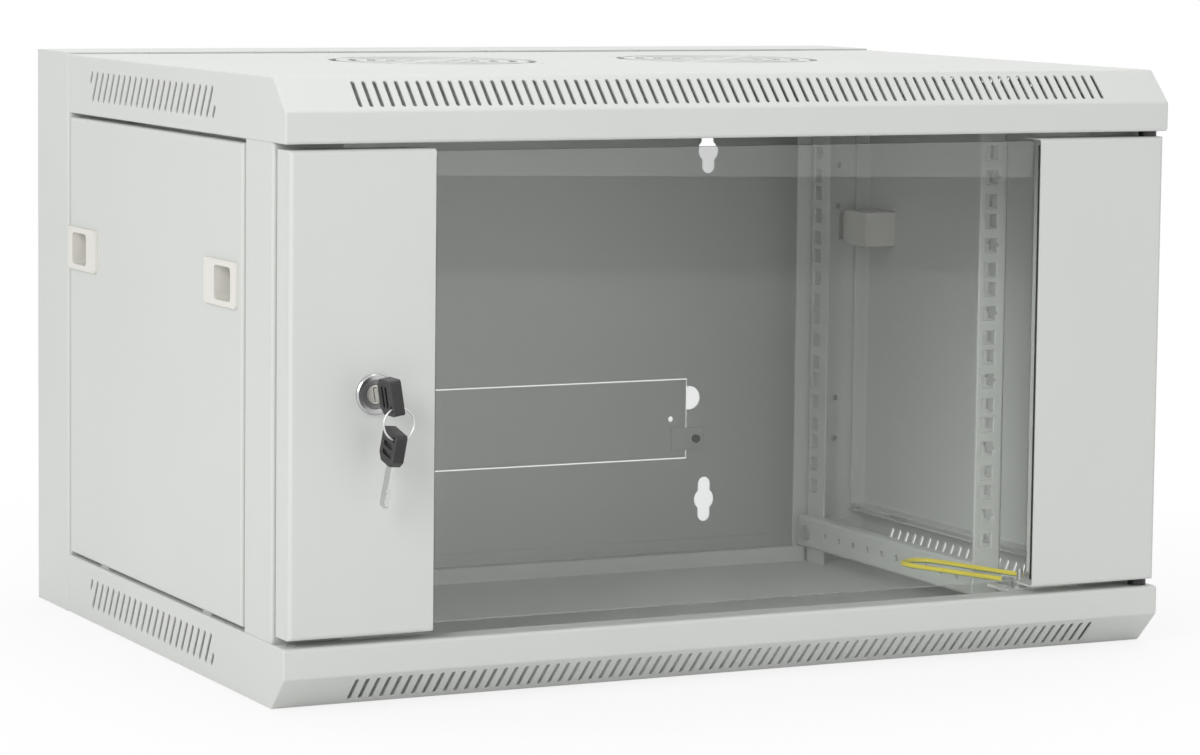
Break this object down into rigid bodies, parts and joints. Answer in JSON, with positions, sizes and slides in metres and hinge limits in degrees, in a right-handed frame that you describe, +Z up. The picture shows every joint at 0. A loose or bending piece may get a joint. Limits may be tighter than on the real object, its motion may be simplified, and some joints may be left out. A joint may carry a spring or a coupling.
{
  "type": "wall mount network cabinet",
  "caption": "Wall mount network cabinet with a swing-out section, glass door with lock, lift-off side panels, rack rails and fan grilles.",
  "frame": {"origin": "middle of the base, on the underside of the bottom cover", "axes": "+X to the right seen from the front, the door faces -Y, +Z up"},
  "size_m": [0.6036, 0.485, 0.368],
  "materials": {
    "grey_paint": "fine powder coat",
    "zinc_steel": "satin",
    "black_steel": "satin black",
    "clear_glass": "polished",
    "black_tape": "matt",
    "black_plastic": "moulded",
    "chrome_zinc": "bright",
    "lock_brass": "machined",
    "latch_white": "moulded",
    "latch_clear": "translucent",
    "grey_rubber": "matt",
    "lead_sleeve": "smooth insulation"
  },
  "bodies": {
    "wall_section": {"wall_pan": "grey_paint", "wall_top_plate": "grey_paint", "wall_bottom_plate": "grey_paint", "cable_entry_covers_top": "grey_paint", "cable_entry_covers_bottom": "grey_paint", "rear_cable_plate": "grey_paint", "rear_plate_screws": "black_steel", "section_hinge_brackets": "zinc_steel", "section_hinge_pins": "zinc_steel", "section_hinge_screws": "zinc_steel", "clinch_nuts": "zinc_steel"},
    "main_section": {"top_cover": "grey_paint", "bottom_cover": "grey_paint", "post_front_left": "grey_paint", "post_front_right": "grey_paint", "post_rear_left": "grey_paint", "post_rear_right": "grey_paint", "depth_rail_top_left": "grey_paint", "depth_rail_top_right": "grey_paint", "depth_rail_bottom_left": "grey_paint", "depth_rail_bottom_right": "grey_paint", "rack_rail_left": "grey_paint", "rack_rail_right": "grey_paint", "rail_screws": "zinc_steel", "frame_screws": "zinc_steel", "section_hinge_arms": "zinc_steel", "panel_buffers": "grey_rubber", "earth_bracket": "zinc_steel", "earth_studs": "zinc_steel", "earth_terminals": "zinc_steel", "earth_lead": "lead_sleeve", "door_hinge_pins": "zinc_steel"},
    "thumb_screws": {"section_thumb_screws": "zinc_steel"},
    "door": {"door_lock_strip": "grey_paint", "door_hinge_strip": "grey_paint", "door_glass": "clear_glass", "glass_tapes": "black_tape", "door_hinge_bushes": "black_plastic", "lock_body": "chrome_zinc", "lock_ring": "black_plastic", "lock_nut": "zinc_steel"},
    "lock_barrel": {"lock_plug": "lock_brass", "lock_cam": "zinc_steel", "cam_screw": "zinc_steel"},
    "key": {"key_blade": "zinc_steel", "key_head": "black_plastic"},
    "ring": {"key_ring": "chrome_zinc"},
    "spare_key": {"spare_key_blade": "zinc_steel", "spare_key_head": "black_plastic"},
    "side_panel_left": {"side_panel_left": "grey_paint", "latch_housing_front_left": "latch_white", "latch_housing_rear_left": "latch_white"},
    "latch_bolt_front_left": {"latch_bolt_front_left": "latch_clear"},
    "latch_bolt_rear_left": {"latch_bolt_rear_left": "latch_clear"},
    "side_panel_right": {"side_panel_right": "grey_paint", "latch_housing_front_right": "latch_white", "latch_housing_rear_right": "latch_white"},
    "latch_bolt_front_right": {"latch_bolt_front_right": "latch_clear"},
    "latch_bolt_rear_right": {"latch_bolt_rear_right": "latch_clear"}
  },
  "joints": [
    {"name": "section_swing", "type": "hinge", "parent": "wall_section", "child": "main_section", "pos_m": [0.294, 0.172, 0.184], "axis": [0, 0, 1], "range_deg": [0, 90]},
    {"name": "door_swing", "type": "hinge", "parent": "main_section", "child": "door", "pos_m": [0.291, -0.215, 0.184], "axis": [0, 0, 1], "range_deg": [0, 170]},
    {"name": "thumb_screws_withdraw", "type": "slide", "parent": "main_section", "child": "thumb_screws", "axis": [0, -1, 0], "range_m": [0, 0.01]},
    {"name": "lock_turn", "type": "hinge", "parent": "door", "child": "lock_barrel", "pos_m": [-0.244, -0.225, 0.184], "axis": [0, 1, 0], "range_deg": [0, 90]},
    {"name": "key_withdraw", "type": "slide", "parent": "lock_barrel", "child": "key", "axis": [0, -1, 0], "range_m": [0, 0.028]},
    {"name": "ring_swing", "type": "hinge", "parent": "key", "child": "ring", "pos_m": [-0.244, -0.2554, 0.17936], "axis": [1, 0, 0], "range_deg": [-40, 5]},
    {"name": "spare_key_swing", "type": "hinge", "parent": "ring", "child": "spare_key", "pos_m": [-0.24178, -0.2554, 0.16078], "axis": [1, 0, 0], "range_deg": [-40, 8]},
    {"name": "side_panel_left_lift_off", "type": "slide", "parent": "main_section", "child": "side_panel_left", "axis": [-1, 0, 0], "range_m": [0, 0.15]},
    {"name": "latch_front_left", "type": "slide", "parent": "side_panel_left", "child": "latch_bolt_front_left", "axis": [0, -1, 0], "range_m": [0, 0.0055]},
    {"name": "latch_rear_left", "type": "slide", "parent": "side_panel_left", "child": "latch_bolt_rear_left", "axis": [0, 1, 0], "range_m": [0, 0.0055]},
    {"name": "side_panel_right_lift_off", "type": "slide", "parent": "main_section", "child": "side_panel_right", "axis": [1, 0, 0], "range_m": [0, 0.15]},
    {"name": "latch_front_right", "type": "slide", "parent": "side_panel_right", "child": "latch_bolt_front_right", "axis": [0, -1, 0], "range_m": [0, 0.0055]},
    {"name": "latch_rear_right", "type": "slide", "parent": "side_panel_right", "child": "latch_bolt_rear_right", "axis": [0, 1, 0], "range_m": [0, 0.0055]}
  ]
}
